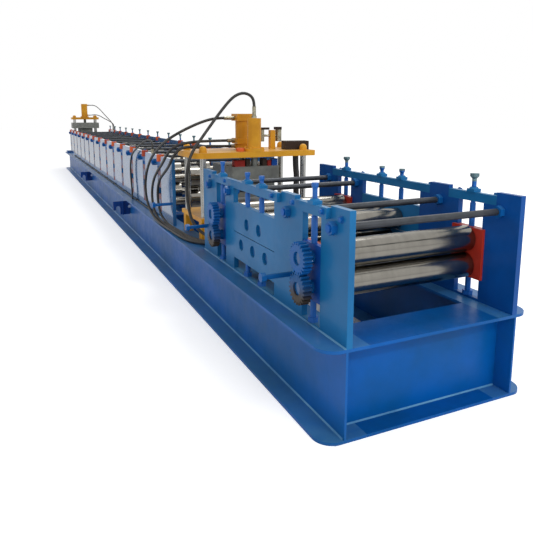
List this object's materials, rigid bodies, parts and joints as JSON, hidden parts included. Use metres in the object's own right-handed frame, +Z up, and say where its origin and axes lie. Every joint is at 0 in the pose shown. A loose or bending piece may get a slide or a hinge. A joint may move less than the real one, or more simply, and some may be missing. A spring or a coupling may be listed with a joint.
{
  "type": "roll forming machine",
  "caption": "Roll forming machine with an H-beam base, entry rolls, a hydraulic punching unit, a line of forming stations and a hydraulic cutter.",
  "frame": {"origin": "on the floor at the middle of the base, between the two beams", "axes": "+Z up, +Y along the machine from the entry end to the cutter, +X to the right when looking along +Y"},
  "size_m": [1.29, 12.6, 1.557],
  "materials": {
    "blue_enamel": "glossy machine enamel",
    "deep_blue_enamel": "glossy machine enamel",
    "yellow_enamel": "glossy machine enamel",
    "red_enamel": "satin enamel",
    "ground_steel": "ground and lightly oiled",
    "dark_steel": "blackened",
    "bright_steel": "hard chromed",
    "grey_steel": "milled",
    "zinc_steel": "zinc plated",
    "hose_rubber": "matt",
    "orange_enamel": "satin enamel",
    "fitting_steel": "zinc plated, yellowish",
    "dark_enamel": "matt"
  },
  "bodies": {
    "machine": {"adjusting_screws": "zinc_steel", "base_beam_left": "blue_enamel", "base_beam_right": "blue_enamel", "column_caps": "yellow_enamel", "cross_beams": "blue_enamel", "cutter_bed": "blue_enamel", "cutter_columns": "bright_steel", "cutter_cylinder": "yellow_enamel", "cutter_die": "grey_steel", "cutter_head_plate": "yellow_enamel", "cutter_hose_1": "hose_rubber", "cutter_hose_2": "hose_rubber", "entry_side_plate_left": "blue_enamel", "entry_side_plate_right": "blue_enamel", "entry_top_bars": "blue_enamel", "forming_bearings": "blue_enamel", "forming_rolls": "ground_steel", "forming_screws": "zinc_steel", "forming_shafts": "ground_steel", "forming_side_plate_left": "blue_enamel", "forming_side_plate_right": "blue_enamel", "forming_slot_caps": "blue_enamel", "gear_guard_posts": "blue_enamel", "hose_fittings": "fitting_steel", "hose_manifold": "blue_enamel", "junction_box": "dark_enamel", "levelling_plates": "blue_enamel", "lifting_lugs": "deep_blue_enamel", "pinch_bearing_blocks": "red_enamel", "punch_bed": "yellow_enamel", "punch_columns": "bright_steel", "punch_cylinders": "yellow_enamel", "punch_die": "grey_steel", "punch_duct": "hose_rubber", "punch_head_plate": "yellow_enamel", "punch_hose_1": "hose_rubber", "punch_hose_2": "hose_rubber", "punch_hose_3": "hose_rubber", "punch_hose_4": "hose_rubber", "punch_valves": "fitting_steel", "station_cable": "hose_rubber", "station_nuts": "orange_enamel", "tie_rod_nuts": "blue_enamel", "tie_rods": "dark_steel"},
    "front_lower_roll": {"pinch_roll_front_lower": "ground_steel", "pinch_gear_front_lower": "blue_enamel"},
    "front_upper_roll": {"pinch_roll_front_upper": "ground_steel", "pinch_gear_front_upper": "blue_enamel"},
    "rear_lower_roll": {"pinch_roll_rear_lower": "ground_steel", "pinch_gear_rear_lower": "blue_enamel"},
    "rear_upper_roll": {"pinch_roll_rear_upper": "ground_steel", "pinch_gear_rear_upper": "blue_enamel"},
    "levelling_1": {"levelling_roll_1": "ground_steel"},
    "levelling_2": {"levelling_roll_2": "ground_steel"},
    "levelling_3": {"levelling_roll_3": "ground_steel"},
    "levelling_4": {"levelling_roll_4": "ground_steel"},
    "levelling_5": {"levelling_roll_5": "ground_steel"},
    "platen": {"punch_platen": "grey_steel"},
    "blade": {"cutter_blade": "grey_steel"}
  },
  "joints": [
    {"name": "front_lower_roll_turn", "type": "hinge", "parent": "machine", "child": "front_lower_roll", "pos_m": [0, -6.0107, 0.57], "axis": [1, 0, 0], "continuous": true},
    {"name": "front_upper_roll_turn", "type": "hinge", "parent": "machine", "child": "front_upper_roll", "pos_m": [0, -6.0107, 0.702], "axis": [1, 0, 0], "continuous": true},
    {"name": "rear_lower_roll_turn", "type": "hinge", "parent": "machine", "child": "rear_lower_roll", "pos_m": [0, -4.8747, 0.57], "axis": [1, 0, 0], "continuous": true},
    {"name": "rear_upper_roll_turn", "type": "hinge", "parent": "machine", "child": "rear_upper_roll", "pos_m": [0, -4.8747, 0.702], "axis": [1, 0, 0], "continuous": true},
    {"name": "levelling_1_turn", "type": "hinge", "parent": "machine", "child": "levelling_1", "pos_m": [0, -5.528, 0.573], "axis": [1, 0, 0], "continuous": true},
    {"name": "levelling_2_turn", "type": "hinge", "parent": "machine", "child": "levelling_2", "pos_m": [0, -5.3651, 0.573], "axis": [1, 0, 0], "continuous": true},
    {"name": "levelling_3_turn", "type": "hinge", "parent": "machine", "child": "levelling_3", "pos_m": [0, -5.2022, 0.573], "axis": [1, 0, 0], "continuous": true},
    {"name": "levelling_4_turn", "type": "hinge", "parent": "machine", "child": "levelling_4", "pos_m": [0, -5.4465, 0.703], "axis": [1, 0, 0], "continuous": true},
    {"name": "levelling_5_turn", "type": "hinge", "parent": "machine", "child": "levelling_5", "pos_m": [0, -5.2836, 0.703], "axis": [1, 0, 0], "continuous": true},
    {"name": "platen_stroke", "type": "slide", "parent": "machine", "child": "platen", "axis": [0, 0, -1], "range_m": [0, 0.06]},
    {"name": "blade_stroke", "type": "slide", "parent": "machine", "child": "blade", "axis": [0, 0, -1], "range_m": [0, 0.25]}
  ],
  "couplings": [
    {"joint": "front_upper_roll_turn", "follows": "front_lower_roll_turn", "ratio": -1},
    {"joint": "rear_upper_roll_turn", "follows": "rear_lower_roll_turn", "ratio": -1}
  ]
}
